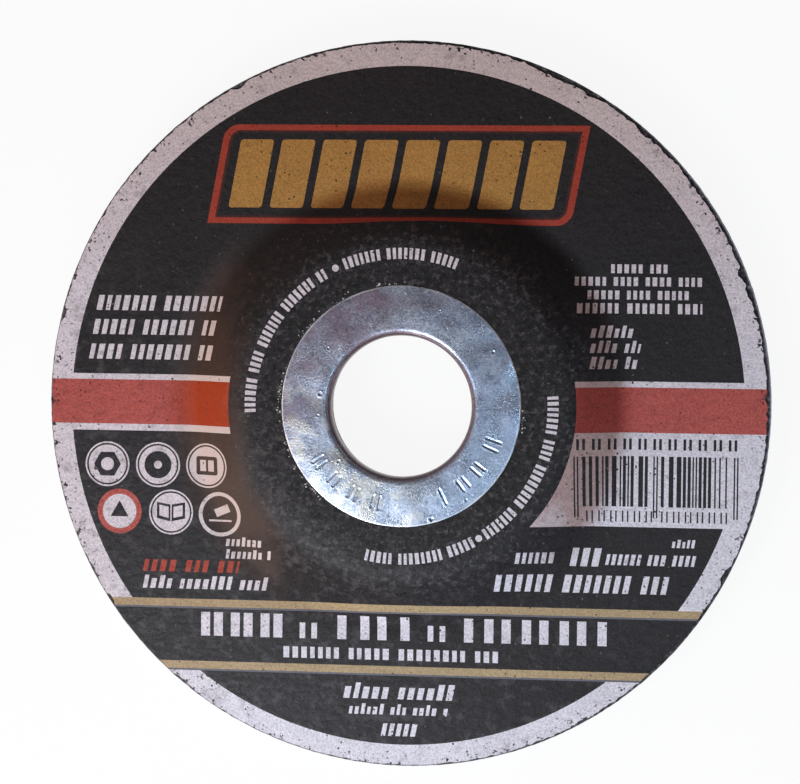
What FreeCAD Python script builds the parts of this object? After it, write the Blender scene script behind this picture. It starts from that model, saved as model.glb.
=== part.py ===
# Depressed-centre grinding disc: moulded grit body, paper label and pressed steel centre ring.
# Millimetres. The origin is on the bore axis in the plane of the working face, and +Z points out
# of the label side, so the disc lies on its working face with the raised hub up.
import FreeCAD, Part
import Sketcher
import os

os.makedirs("parts", exist_ok=True)
doc = FreeCAD.newDocument("grinding_disc")

# Driving dimensions
SIZES = [
    ("disc_diameter", 115.0, "outside diameter of the disc"),
    ("disc_thickness", 6.4, "working face to the label's face, outside the hub"),
    ("hub_thickness", 6.4, "recess floor to the label's face on top of the hub"),
    ("hub_rise", 4.6, "height of the hub's top above the label's flat face"),
    ("hub_top_diameter", 54.8, "corner between the hub's top and its slope"),
    ("slope_run", 7.2, "radial run of the hub's slope"),
    ("recess_inset", 1.9, "how far the recess's corners lie inside the corners of the label side"),
    ("foot_round", 4.5, "hollow rounding where the slope leaves the flat face"),
    ("shoulder_round", 4.0, "rounding where the slope meets the hub's top"),
    ("recess_floor_round", 3.0, "hollow rounding round the recess's floor"),
    ("recess_mouth_bevel", 1.5, "broken corner at the mouth of the recess"),
    ("working_edge_bevel", 0.4, "worn edge of the rim at the working face"),
    ("label_edge_bevel", 0.2, "broken edge of the rim at the label side"),
    ("bore_diameter", 22.23, "hole for the grinder's flange, inside the collar"),
    ("ring_diameter", 38.0, "outside diameter of the steel ring"),
    ("ring_sheet", 0.6, "thickness of the sheet that the ring is pressed from"),
    ("ring_proud", 0.3, "height of the ring's face above the label"),
    ("lip_round", 1.2, "outer radius of the bend between flange and collar"),
    ("ring_edge_bevel", 0.15, "broken edge on the flange's rim"),
    ("collar_depth", 2.6, "ring's face to the end of the collar"),
    ("ring_gap", 0.05, "clearance round the flange's rim"),
    ("label_thickness", 0.2, "thickness of the printed paper"),
    ("label_margin", 0.5, "bare rim outside the label when it is centred"),
    ("label_shift_x", -0.15, "how far the label is glued off centre, along X"),
    ("label_shift_y", -0.10, "how far the label is glued off centre, along Y"),
]

sheet = doc.addObject("Spreadsheet::Sheet", "Sizes")
for row, (alias, value, meaning) in enumerate(SIZES, start=1):
    sheet.set(f"A{row}", meaning)
    sheet.set(f"B{row}", str(value))
    sheet.setAlias(f"B{row}", alias)
doc.recompute()

# Expressions shared by pieces that touch
DISC_RADIUS = "Sizes.disc_diameter / 2"
BORE_RADIUS = "Sizes.bore_diameter / 2"
RING_RADIUS = "Sizes.ring_diameter / 2"
COLLAR_RADIUS = f"{BORE_RADIUS} + Sizes.ring_sheet"
SEAT_RADIUS = f"{RING_RADIUS} + Sizes.ring_gap"
LIP_INSIDE = "Sizes.lip_round - Sizes.ring_sheet"

LABEL_FACE = "Sizes.disc_thickness"
LABEL_TOP = f"{LABEL_FACE} + Sizes.hub_rise"
FLAT_FACE = f"{LABEL_FACE} - Sizes.label_thickness"
HUB_FACE = f"{LABEL_TOP} - Sizes.label_thickness"
RECESS_FLOOR = f"{LABEL_TOP} - Sizes.hub_thickness"
RING_FACE = f"{LABEL_TOP} + Sizes.ring_proud"
RING_SEAT = f"{RING_FACE} - Sizes.ring_sheet"

SHOULDER_RADIUS = "Sizes.hub_top_diameter / 2"
FOOT_RADIUS = f"{SHOULDER_RADIUS} + Sizes.slope_run"
FOLD_SHIFT = "Sizes.label_thickness * tan(atan(Sizes.hub_rise / Sizes.slope_run) / 2)"

# Tolerance when an edge is looked up by its radius and height
EDGE_MATCH = 1e-4


def value_of(expression):
    """Present value of a spreadsheet expression, in millimetres."""
    return float(sheet.evalExpression(expression))


def new_body(label):
    body = doc.addObject("PartDesign::Body", label)
    body.Label = label
    return body


def origin_plane(body, role):
    return next(plane for plane in body.Origin.OriginFeatures if plane.Role == role)


def new_sketch(body, name, role):
    sketch = body.newObject("Sketcher::SketchObject", name)
    sketch.AttachmentSupport = [(origin_plane(body, role), "")]
    sketch.MapMode = "FlatFace"
    return sketch


def bind(sketch, kind, references, expression, name):
    """Add one named dimension to a sketch and tie it to the spreadsheet."""
    index = sketch.addConstraint(Sketcher.Constraint(kind, *references, value_of(expression)))
    sketch.renameConstraint(index, name)
    sketch.setExpression(f"Constraints.{name}", expression)


def profile_sketch(body, name, corners):
    """Closed straight-sided half section: each corner is (name, radius, height) in expressions."""
    sketch = new_sketch(body, name, "XZ_Plane")
    places = [FreeCAD.Vector(value_of(radius), value_of(height), 0) for _, radius, height in corners]
    count = len(places)
    for index in range(count):
        sketch.addGeometry(Part.LineSegment(places[index], places[(index + 1) % count]), False)
    for index in range(count):
        sketch.addConstraint(Sketcher.Constraint("Coincident", index, 2, (index + 1) % count, 1))
    for index, (corner, radius, height) in enumerate(corners):
        bind(sketch, "DistanceX", (-1, 1, index, 1), radius, f"{corner}_radius")
        bind(sketch, "DistanceY", (-1, 1, index, 1), height, f"{corner}_height")
    return sketch


def revolve(body, sketch, name):
    """Turn a half section once round the bore axis."""
    revolution = body.newObject("PartDesign::Revolution", name)
    revolution.Profile = sketch
    revolution.ReferenceAxis = (sketch, ["V_Axis"])
    revolution.Angle = 360
    doc.recompute()
    return revolution


def circle_edges(shape, radius, height):
    """Names of the edges that run round the bore axis at this radius and height."""
    names = []
    for number, edge in enumerate(shape.Edges, start=1):
        if not isinstance(edge.Curve, Part.Circle):
            continue
        centre = edge.Curve.Center
        near_height = abs(centre.z - height) < EDGE_MATCH
        near_radius = abs(edge.Curve.Radius - radius) < EDGE_MATCH
        if near_height and near_radius and abs(centre.x) + abs(centre.y) < EDGE_MATCH:
            names.append(f"Edge{number}")
    return names


def dress_corner(body, kind, name, radius, height):
    """Add a fillet or chamfer to the circular edge at one corner of the revolved section."""
    base = body.Tip
    names = circle_edges(base.Shape, value_of(radius), value_of(height))
    if not names:
        raise RuntimeError(f"{body.Label}: no edge for {name}")
    feature = body.newObject(kind, name)
    feature.Base = (base, names)
    return feature


def round_corner(body, name, radius, height, rounding):
    fillet = dress_corner(body, "PartDesign::Fillet", name, radius, height)
    fillet.setExpression("Radius", rounding)
    doc.recompute()


def bevel_corner(body, name, radius, height, bevel):
    chamfer = dress_corner(body, "PartDesign::Chamfer", name, radius, height)
    chamfer.setExpression("Size", bevel)
    doc.recompute()


def make_abrasive_body():
    """Moulded grit: flat rim, slope, raised hub with the ring's seat, and the recess below."""
    body = new_body("abrasive_body")
    floor_radius = f"{SHOULDER_RADIUS} - Sizes.recess_inset"
    mouth_radius = f"{FOOT_RADIUS} - Sizes.recess_inset"
    section = profile_sketch(body, "body_section", [
        ("bore_foot", COLLAR_RADIUS, RECESS_FLOOR),
        ("recess_floor", floor_radius, RECESS_FLOOR),
        ("recess_mouth", mouth_radius, "0"),
        ("working_edge", DISC_RADIUS, "0"),
        ("label_edge", DISC_RADIUS, FLAT_FACE),
        ("slope_foot", FOOT_RADIUS, FLAT_FACE),
        ("shoulder", SHOULDER_RADIUS, HUB_FACE),
        ("seat_rim", SEAT_RADIUS, HUB_FACE),
        ("seat_corner", SEAT_RADIUS, RING_SEAT),
        ("bore_head", COLLAR_RADIUS, RING_SEAT),
    ])
    revolve(body, section, "moulding")
    round_corner(body, "foot_fillet", FOOT_RADIUS, FLAT_FACE, "Sizes.foot_round")
    round_corner(body, "shoulder_fillet", SHOULDER_RADIUS, HUB_FACE, "Sizes.shoulder_round")
    round_corner(body, "recess_floor_fillet", floor_radius, RECESS_FLOOR, "Sizes.recess_floor_round")
    bevel_corner(body, "recess_mouth_bevel", mouth_radius, "0", "Sizes.recess_mouth_bevel")
    bevel_corner(body, "working_edge_bevel", DISC_RADIUS, "0", "Sizes.working_edge_bevel")
    bevel_corner(body, "label_edge_bevel", DISC_RADIUS, FLAT_FACE, "Sizes.label_edge_bevel")
    bevel_corner(body, "bore_head_bevel", COLLAR_RADIUS, RING_SEAT, LIP_INSIDE)
    return body


def make_paper_label():
    """Printed paper, the same thickness all over, formed over the slope and trimmed to a circle."""
    body = new_body("paper_label")
    section = profile_sketch(body, "label_section", [
        ("hole_under", SEAT_RADIUS, HUB_FACE),
        ("shoulder_under", SHOULDER_RADIUS, HUB_FACE),
        ("foot_under", FOOT_RADIUS, FLAT_FACE),
        ("rim_under", DISC_RADIUS, FLAT_FACE),
        ("rim_face", DISC_RADIUS, LABEL_FACE),
        ("foot_face", f"{FOOT_RADIUS} + {FOLD_SHIFT}", LABEL_FACE),
        ("shoulder_face", f"{SHOULDER_RADIUS} + {FOLD_SHIFT}", LABEL_TOP),
        ("hole_face", SEAT_RADIUS, LABEL_TOP),
    ])
    revolve(body, section, "formed_paper")
    round_corner(body, "foot_under_fillet", FOOT_RADIUS, FLAT_FACE, "Sizes.foot_round")
    round_corner(body, "foot_face_fillet", f"{FOOT_RADIUS} + {FOLD_SHIFT}", LABEL_FACE,
                 "Sizes.foot_round - Sizes.label_thickness")
    round_corner(body, "shoulder_under_fillet", SHOULDER_RADIUS, HUB_FACE, "Sizes.shoulder_round")
    round_corner(body, "shoulder_face_fillet", f"{SHOULDER_RADIUS} + {FOLD_SHIFT}", LABEL_TOP,
                 "Sizes.shoulder_round + Sizes.label_thickness")
    trim_label(body)
    return body


def trim_label(body):
    """Cut away the paper outside its own circle, which is glued a little off centre."""
    sketch = new_sketch(body, "label_outline", "XY_Plane")
    centre = FreeCAD.Vector(value_of("Sizes.label_shift_x"), value_of("Sizes.label_shift_y"), 0)
    axis = FreeCAD.Vector(0, 0, 1)
    outline = sketch.addGeometry(Part.Circle(centre, axis, value_of("Sizes.disc_diameter / 2")), False)
    waste = sketch.addGeometry(Part.Circle(FreeCAD.Vector(), axis, value_of("Sizes.disc_diameter")), False)
    sketch.addConstraint(Sketcher.Constraint("Coincident", waste, 3, -1, 1))
    bind(sketch, "Radius", (waste,), "Sizes.disc_diameter", "waste_radius")
    bind(sketch, "Radius", (outline,), f"{DISC_RADIUS} - Sizes.label_margin", "outline_radius")
    bind(sketch, "DistanceX", (-1, 1, outline, 3), "Sizes.label_shift_x", "shift_x")
    bind(sketch, "DistanceY", (-1, 1, outline, 3), "Sizes.label_shift_y", "shift_y")
    before = body.Tip.Shape.Volume
    trim = body.newObject("PartDesign::Pocket", "trim")
    trim.Profile = sketch
    trim.Type = "ThroughAll"
    trim.Midplane = True
    doc.recompute()
    if body.Tip.Shape.Volume > before - EDGE_MATCH:
        raise RuntimeError("the label's outline cut nothing")


def make_centre_ring():
    """Pressed steel ring: flat flange, rounded lip and a short collar that lines the bore."""
    body = new_body("centre_ring")
    collar_end = f"{RING_FACE} - Sizes.collar_depth"
    section = profile_sketch(body, "ring_section", [
        ("collar_inside", BORE_RADIUS, collar_end),
        ("collar_outside", COLLAR_RADIUS, collar_end),
        ("bend_inside", COLLAR_RADIUS, RING_SEAT),
        ("rim_under", RING_RADIUS, RING_SEAT),
        ("rim_face", RING_RADIUS, RING_FACE),
        ("bend_outside", BORE_RADIUS, RING_FACE),
    ])
    revolve(body, section, "pressing")
    bevel_corner(body, "bend_inside_bevel", COLLAR_RADIUS, RING_SEAT, LIP_INSIDE)
    round_corner(body, "lip_fillet", BORE_RADIUS, RING_FACE, "Sizes.lip_round")
    bevel_corner(body, "rim_bevel", RING_RADIUS, RING_FACE, "Sizes.ring_edge_bevel")
    return body


def check_and_write(bodies):
    doc.recompute()
    for item in doc.Objects:
        if "Invalid" in item.State or "Error" in item.State:
            raise RuntimeError(f"{item.Label} is in state {item.State}")
    for body in bodies:
        if body.Shape.isNull() or not body.Shape.isValid():
            raise RuntimeError(f"{body.Label} has no valid shape")
        body.Shape.exportStep(f"parts/{body.Label}.step")


check_and_write([make_abrasive_body(), make_paper_label(), make_centre_ring()])
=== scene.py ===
import math
import random

import bpy
from mathutils import Matrix, Vector, noise
from mathutils.geometry import delaunay_2d_cdt


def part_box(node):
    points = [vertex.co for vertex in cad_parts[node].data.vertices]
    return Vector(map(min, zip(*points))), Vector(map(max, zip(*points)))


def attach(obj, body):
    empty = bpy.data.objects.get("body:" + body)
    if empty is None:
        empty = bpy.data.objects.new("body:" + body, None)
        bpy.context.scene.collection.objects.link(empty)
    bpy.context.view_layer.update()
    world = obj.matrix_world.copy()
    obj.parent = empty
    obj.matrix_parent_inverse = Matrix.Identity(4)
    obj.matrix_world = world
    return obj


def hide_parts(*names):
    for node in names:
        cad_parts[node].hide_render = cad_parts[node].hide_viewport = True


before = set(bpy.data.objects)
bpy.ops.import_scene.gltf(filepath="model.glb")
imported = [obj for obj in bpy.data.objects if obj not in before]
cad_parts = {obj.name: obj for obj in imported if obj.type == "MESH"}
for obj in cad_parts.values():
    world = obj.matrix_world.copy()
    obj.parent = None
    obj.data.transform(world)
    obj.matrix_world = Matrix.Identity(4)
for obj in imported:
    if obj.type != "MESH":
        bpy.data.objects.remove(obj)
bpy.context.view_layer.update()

# Sizes are in millimetres and are scaled to metres when a mesh is made
MM = 0.001

# Sizes read from the frame
PAPER_LOW, PAPER_HIGH = (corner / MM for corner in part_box("paper_label"))
RING_LOW, RING_HIGH = (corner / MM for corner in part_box("centre_ring"))
DISC_RADIUS = (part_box("abrasive_body")[1] / MM).x
RING_RADIUS = RING_HIGH.x
PAPER = 0.2
LABEL_FACE = PAPER_LOW.z + PAPER
HUB_FACE = PAPER_HIGH.z
PAPER_RADIUS = (PAPER_HIGH.x - PAPER_LOW.x) / 2
PAPER_CENTRE = (PAPER_LOW + PAPER_HIGH) / 2

# Hub, recess and ring, as the part's own sections have them
SHOULDER_RADIUS = 27.4
FOOT_RADIUS = 34.6
SHOULDER_ROUND = 8.0
FOOT_ROUND = 4.5
RECESS_FLOOR = 4.6
RECESS_FLOOR_RADIUS = 25.5
RECESS_MOUTH_RADIUS = 32.7
BORE_RADIUS = 11.115
RING_SHEET = 0.6
LIP_ROUND = 1.2
PAPER_HOLE = RING_RADIUS + 0.05

# The camera stands to the right of the disc's axis and a little above it
CAMERA_DISTANCE = 516.0
CAMERA_SIDEWAYS = math.radians(-8.28)
CAMERA_UPWARDS = math.radians(2.81)
CAMERA_ROLL = math.radians(-0.51)
CAMERA_SLIDE = Vector((0.75, -2.07, -CAMERA_DISTANCE))
PHOTO_WIDTH = 800
FOCAL_PIXELS = 3264
SENSOR_WIDTH = 36.0

# The print, measured from the disc's axis
FIELD_CENTRE = (-0.17, -0.30)
FIELD_RADIUS = 53.74
HUB_PRINT_RADIUS = 27.6
BAND_TOP = 4.3
BAND_RED_TOP = 3.38
BAND_RED_BOTTOM = -3.72
BAND_BOTTOM = -4.78
PANEL_BOTTOM = -18.55
GOLD_LINE_TOPS = (-31.6, -41.55)
GOLD_LINE_WIDTH = 1.22
GREY_LINE_WIDTH = 0.3
BEYOND_EDGE = 60.0

# The leaning frame and the bars in it, before they lean
FRAME_LEFT = -32.0
FRAME_RIGHT = 26.0
FRAME_BOTTOM = 28.5
FRAME_TOP = 44.15
FRAME_CORNER = 2.2
FRAME_LEAN = 0.187
FRAME_BARS = 8
FRAME_BAR_LEFT = -28.6
FRAME_BAR_BOTTOM = 31.0
FRAME_BAR_TOP = 41.8
FRAME_BAR_WIDTH = 5.34
FRAME_BAR_PITCH = 6.64

# The pictograms
PICTOGRAM_RADIUS = 3.6
UPPER_PICTOGRAMS = ((-48.07, -10.2), (-39.8, -10.2), (-31.6, -10.15))
LOWER_PICTOGRAMS = ((-46.05, -17.75), (-37.63, -17.75), (-29.5, -17.9))

# The field of upright bars
BARS_TOP = -7.4
BARS_BOTTOM = -15.35
LONG_BARS_BOTTOM = -17.1
THIN_BAR = 0.24
BAR_STEP = 0.245
BAR_STEPS = (1, 1, 1, 2, 2, 3)

# The marks of a row, as shares of the row's height
MARK_WIDTHS = (0.3, 0.42)
SMALLEST_MARK = 0.12
MARK_GAP = 0.23
GROUP_GAP = 0.45


def linear(red, green, blue):
    """An sRGB colour on 0 to 255 as the linear colour that a shader takes."""
    channels = []
    for level in (red / 255, green / 255, blue / 255):
        channels.append(level / 12.92 if level <= 0.04045 else ((level + 0.055) / 1.055) ** 2.4)
    return (*channels, 1.0)


def smooth_mesh(name, vertices, faces):
    mesh = bpy.data.meshes.new(name)
    mesh.from_pydata([vertex * MM for vertex in vertices], [], faces)
    mesh.polygons.foreach_set("use_smooth", [True] * len(faces))
    return mesh


def add_object(name, data):
    made = bpy.data.objects.new(name, data)
    bpy.context.collection.objects.link(made)
    return made


# Camera

def make_camera():
    turn = Matrix.Rotation(CAMERA_ROLL, 3, "Z") @ Matrix.Rotation(CAMERA_UPWARDS, 3, "X")
    turn = turn @ Matrix.Rotation(CAMERA_SIDEWAYS, 3, "Y")
    data = bpy.data.cameras.new("camera")
    data.sensor_width = SENSOR_WIDTH
    data.lens = FOCAL_PIXELS * SENSOR_WIDTH / PHOTO_WIDTH
    data.clip_start = 0.01
    data.clip_end = 20.0
    camera = add_object("camera", data)
    place = turn.transposed() @ -CAMERA_SLIDE + Vector((0, 0, LABEL_FACE))
    camera.matrix_world = Matrix.Translation(place * MM) @ turn.transposed().to_4x4()
    bpy.context.scene.camera = camera


# Form of the label side

SLOPE = math.atan((HUB_FACE - LABEL_FACE) / (FOOT_RADIUS - SHOULDER_RADIUS))
FOLD_SHIFT = PAPER * math.tan(SLOPE / 2)


def face_height(radius):
    """Height of the paper's face above the working face, at a distance from the axis."""
    foot = FOOT_RADIUS + FOLD_SHIFT
    shoulder = SHOULDER_RADIUS + FOLD_SHIFT
    foot_round = FOOT_ROUND - PAPER
    shoulder_round = SHOULDER_ROUND + PAPER
    foot_centre = foot + foot_round * math.tan(SLOPE / 2)
    shoulder_centre = shoulder - shoulder_round * math.tan(SLOPE / 2)
    if radius >= foot_centre:
        return LABEL_FACE
    if radius <= shoulder_centre:
        return HUB_FACE
    if radius > foot_centre - foot_round * math.sin(SLOPE):
        return LABEL_FACE + foot_round - math.sqrt(foot_round**2 - (radius - foot_centre) ** 2)
    if radius < shoulder_centre + shoulder_round * math.sin(SLOPE):
        return HUB_FACE - shoulder_round + math.sqrt(shoulder_round**2 - (radius - shoulder_centre) ** 2)
    return LABEL_FACE + (foot - radius) * math.tan(SLOPE)


def face_normal(x, y):
    radius = math.hypot(x, y)
    nudge = 0.01
    fall = (face_height(radius - nudge) - face_height(radius + nudge)) / (2 * nudge)
    return Vector((fall * x / radius, fall * y / radius, 1.0)).normalized()


# Flat shapes of the print, as lists of points that run anticlockwise

def polar(reach, turn, centre=(0, 0)):
    """The point at a distance and an angle from centre."""
    return (centre[0] + reach * math.cos(turn), centre[1] + reach * math.sin(turn))


def polygon(centre, radius, sides, turn=0.0):
    return [polar(radius, turn + 2 * math.pi * side / sides, centre) for side in range(sides)]


def circle(centre, radius, count=96):
    return polygon(centre, radius, count)


def box(left, bottom, right, top):
    return [(left, bottom), (right, bottom), (right, top), (left, top)]


def rounded_box(left, bottom, right, top, radius, steps=6):
    points = []
    corners = ((right - radius, top - radius), (left + radius, top - radius),
               (left + radius, bottom + radius), (right - radius, bottom + radius))
    for quarter, corner in enumerate(corners):
        for step in range(steps + 1):
            points.append(polar(radius, math.pi / 2 * (quarter + step / steps), corner))
    return points


def mark_blocks(rng, length, height, wide, low):
    """Plain blocks, as corner points in groups, that stand where a row of words was.

    low is the height of the lower blocks as a share of the row's height.
    """
    blocks = []
    place = 0.0
    left_in_group = rng.randint(4, 7)
    while place < length:
        if left_in_group == 0:
            place += GROUP_GAP * height * wide
            left_in_group = rng.randint(3, 8)
        right = min(place + rng.uniform(*MARK_WIDTHS) * height * wide, length)
        if right - place > SMALLEST_MARK * height:
            blocks.append(box(place, 0.0, right, height * rng.choice((1.0, low, low))))
        place = right + MARK_GAP * height * wide
        left_in_group -= 1
    return blocks


def straight_row(left, right, bottom, top, seed, lean=0.2, wide=1.0, low=1.0, ink="white"):
    """A row of plain marks along X. lean is how far the tops move for each unit of height."""
    blocks = mark_blocks(random.Random(seed), right - left, top - bottom, wide, low)
    return [(ink, [(left + x + lean * y, bottom + y) for x, y in block]) for block in blocks]


def curved_row(radius, height, start, sweep, seed):
    """A row of plain marks round the axis. A positive sweep runs anticlockwise, tops inwards."""
    way = math.copysign(1.0, sweep)
    blocks = mark_blocks(random.Random(seed), abs(sweep) * radius, height, 0.9, 1.0)
    return [("white", [polar(radius - way * (y - height / 2), start + way * x / radius) for x, y in block])
            for block in blocks]


# Parts of the print, each a list of (ink, points) in the order in which they are laid down

def field_and_bands():
    strip_top = GOLD_LINE_TOPS[0] - GOLD_LINE_WIDTH
    return [
        ("black", circle(FIELD_CENTRE, FIELD_RADIUS, 360)),
        ("black", box(-BEYOND_EDGE, GOLD_LINE_TOPS[1], BEYOND_EDGE, strip_top)),
        ("white", box(-BEYOND_EDGE, BAND_BOTTOM, 0, BAND_TOP)),
        ("white", box(0, PANEL_BOTTOM, BEYOND_EDGE, BAND_TOP)),
        ("red", box(-BEYOND_EDGE, BAND_RED_BOTTOM, 0, BAND_RED_TOP)),
        ("red", box(0, BAND_RED_BOTTOM, BEYOND_EDGE, BAND_RED_TOP)),
        ("black", circle((0, 0), HUB_PRINT_RADIUS, 240)),
    ]


def gold_lines():
    shapes = []
    for top in GOLD_LINE_TOPS:
        bottom = top - GOLD_LINE_WIDTH
        shapes.append(("grey", box(-50.5, bottom - GREY_LINE_WIDTH, 50.5, bottom)))
        shapes.append(("gold", box(-BEYOND_EDGE, bottom, BEYOND_EDGE, top)))
    return shapes


def frame_outline(inset, bow):
    """Leaning outline with two rounded corners and a lower side that bows up over the slope."""
    left, right = FRAME_LEFT + 1.2 * inset, FRAME_RIGHT - 1.2 * inset
    bottom, top = FRAME_BOTTOM + inset, FRAME_TOP - inset
    corner = FRAME_CORNER - 0.7 * inset
    bow_centre, bow_reach = 3.5, 19
    points = []
    for step in range(31):
        x = left + (right - corner - left) * step / 30
        apart = min(1.0, abs(x - bow_centre) / bow_reach)
        points.append((x, bottom + bow * math.cos(math.pi / 2 * apart) ** 2))
    for step in range(1, 7):
        points.append(polar(corner, math.radians(15 * step - 90), (right - corner, bottom + corner)))
    points.append((right, top))
    for step in range(7):
        points.append(polar(corner, math.radians(90 + 15 * step), (left + corner, top - corner)))
    return [(x + FRAME_LEAN * (y - FRAME_BOTTOM), y) for x, y in points]


def framed_panel():
    """A leaning red frame with a dark inner edge, round a row of plain gold bars."""
    shapes = [("orange", frame_outline(0.0, 0.62)), ("rust", frame_outline(0.9, 0.25)),
              ("black", frame_outline(1.25, 0.2))]
    low = FRAME_BAR_BOTTOM
    for step in range(FRAME_BARS):
        place = FRAME_BAR_LEFT + step * FRAME_BAR_PITCH
        bar = rounded_box(place, low, place + FRAME_BAR_WIDTH, FRAME_BAR_TOP, 0.5)
        shapes.append(("amber", [(x + FRAME_LEAN * (y - low), y) for x, y in bar]))
    return shapes


def ringed_disc(centre, radius, widths, inks):
    """Circles one inside the other: widths are taken off the radius in turn."""
    shapes = []
    for ink, width in zip(inks, (0.0, *widths)):
        radius -= width
        shapes.append((ink, circle(centre, radius)))
    return shapes


def two_pages(x, y):
    """A plain figure of two leaning pages side by side, each with a pale middle."""
    shapes = []
    for ink, inner, outer, foot, top in (("black", 0.1, 2.3, (-1.5, -1.0), (1.2, 1.6)),
                                         ("white", 0.4, 1.9, (-0.95, -0.6), (0.85, 1.15))):
        corners = ((inner, foot[0]), (outer, foot[1]), (outer, top[1]), (inner, top[0]))
        for way in (-1, 1):
            shapes.append((ink, [(x + way * across, y + up) for across, up in corners]))
    return shapes


def pictograms():
    """Pale discs with one plain figure each."""
    shapes = []
    for centre in (*UPPER_PICTOGRAMS, LOWER_PICTOGRAMS[1]):
        shapes += ringed_disc(centre, PICTOGRAM_RADIUS, (0.26, 0.26), ("white", "black", "white"))
    shapes.append(("black", polygon(UPPER_PICTOGRAMS[0], 2.2, 6)))
    shapes.append(("white", circle(UPPER_PICTOGRAMS[0], 1.05, 32)))
    shapes += ringed_disc(UPPER_PICTOGRAMS[1], 2.2, (1.55,), ("black", "white"))
    x, y = UPPER_PICTOGRAMS[2]
    shapes.append(("black", rounded_box(x - 1.9, y - 1.5, x + 1.9, y + 1.5, 0.4)))
    for left, right in ((x - 1.25, x - 0.2), (x + 0.2, x + 1.25)):
        shapes.append(("white", box(left, y - 0.9, right, y + 0.9)))
    shapes += two_pages(*LOWER_PICTOGRAMS[1])
    shapes += ringed_disc(LOWER_PICTOGRAMS[0], PICTOGRAM_RADIUS, (0.85,), ("red", "white"))
    shapes.append(("black", polygon(LOWER_PICTOGRAMS[0], 1.7, 3, math.radians(90))))
    shapes += ringed_disc(LOWER_PICTOGRAMS[2], PICTOGRAM_RADIUS, (0.62,), ("white", "black"))
    x, y = LOWER_PICTOGRAMS[2]
    shapes.append(("white", box(x - 1.9, y - 1.2, x + 1.9, y - 0.9)))
    tilted = ((-0.6, -0.5), (1.8, 0.5), (1.3, 1.7), (-1.1, 0.7))
    shapes.append(("white", [(x + across, y + up) for across, up in tilted]))
    return shapes


def bar_pairs(ink, places, bottom, top, width, apart):
    """A pair of plain bars at each place. apart is from one bar's left side to the other's."""
    return [(ink, box(x, bottom, x + width, top)) for place in places for x in (place, place + apart)]


def bar_field():
    """A field of upright bars of mixed widths on the pale panel, with plain rows above and below."""
    shapes = []
    rng = random.Random(11)
    for left, right in ((28.5, 39.0), (40.6, 51.6)):
        place = left
        while place < right - BAR_STEP:
            width = BAR_STEP * rng.choice(BAR_STEPS)
            shapes.append(("black", box(place, BARS_BOTTOM, min(place + width, right), BARS_TOP)))
            place += width + BAR_STEP * rng.choice(BAR_STEPS)
    shapes += bar_pairs("black", (27.18, 39.38, 51.93), LONG_BARS_BOTTOM, BARS_TOP, THIN_BAR, 0.5)
    shapes += bar_pairs("black", [27.6 + 2.35 * number for number in range(11)], -6.4, -4.65, 0.42, 0.9)
    for start in (29.0, 40.7):
        row = [start + 1.85 * number for number in range(6)]
        shapes += bar_pairs("black", row, -17.75, -16.0, THIN_BAR, 0.8)
    return shapes


def size_row(bottom, top):
    """The large row: pairs of upright bars in three groups with small blocks between them."""
    shapes = []
    bar, gap = 1.45, 1.3
    for left, right, pairs in ((-32.6, -19.4, 3), (-10.5, 1.1, 2), (9.8, 32.4, 4)):
        pitch = (right - left + gap) / pairs
        places = [left + number * pitch for number in range(pairs)]
        shapes += bar_pairs("white", places, bottom, top, bar, pitch - gap - bar)
    shapes += bar_pairs("white", (-16.6, 4.0), bottom, bottom + 2.5, 0.9, 1.9)
    return shapes


def word_rows():
    """Rows of plain marks in the places of the printed words."""
    shapes = []
    upper_left = ((-50.0, -29.7, 14.45), (-50.6, -30.4, 10.6), (-51.2, -31.0, 6.65))
    for number, (left, right, bottom) in enumerate(upper_left):
        shapes += straight_row(left, right, bottom, bottom + 2.4, number)
    upper_right = ((32.4, 41.3, 21.2, 22.6), (26.8, 47.1, 19.2, 20.6),
                   (28.8, 44.8, 17.1, 18.5), (27.3, 46.7, 14.9, 16.5))
    for number, (left, right, bottom, top) in enumerate(upper_right):
        shapes += straight_row(left, right, bottom, top, 20 + number, lean=0, wide=1.25)
    for number, bottom in enumerate((11.1, 8.75, 6.25)):
        shapes += straight_row(29.4, 37.0, bottom, bottom + 1.9, 30 + number, low=0.75)
    shapes += straight_row(-28.7, -22.0, -23.0, -21.5, 40, lean=0.15, low=0.75)
    shapes += straight_row(-28.7, -20.7, -25.0, -23.5, 41, lean=0.15, low=0.75)
    shapes += straight_row(-42.2, -26.7, -27.3, -25.4, 42, wide=1.3, ink="orange")
    shapes += straight_row(-42.2, -20.6, -30.0, -27.9, 43, low=0.75)
    shapes += straight_row(42.4, 46.0, -21.7, -20.4, 44, lean=0.15, low=0.75)
    shapes += straight_row(18.0, 24.8, -24.5, -22.7, 45)
    shapes += straight_row(26.4, 31.4, -24.9, -22.0, 46)
    shapes += straight_row(32.0, 46.0, -24.6, -22.9, 47)
    shapes += straight_row(14.6, 42.4, -29.1, -26.3, 48)
    shapes += size_row(-37.45, -33.65)
    shapes += straight_row(-19.2, 15.5, -40.6, -38.8, 50, lean=0, wide=1.3)
    shapes += straight_row(-9.5, 8.6, -46.8, -44.3, 51, low=0.75)
    shapes += straight_row(-8.6, 7.5, -49.3, -47.6, 52, lean=0.15, low=0.7)
    shapes += straight_row(-3.4, 2.6, -52.7, -50.7, 53)
    return shapes


def hub_rows():
    """Two rows of marks that run round the hub, one above the ring and one below it."""
    radius, height = 24.0, 1.75
    shapes = []
    for number, (start, sweep) in enumerate(((183, -64), (112.5, -45), (257, 42), (304, 63))):
        shapes += curved_row(radius, height, math.radians(start), math.radians(sweep), 60 + number)
    for turn in (116, 301.5):
        shapes.append(("white", circle(polar(radius, math.radians(turn)), 0.55, 20)))
    return shapes


# The paper ends inside the bevel of the disc's rim
LONGEST_REACH = DISC_RADIUS - 0.26

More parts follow.
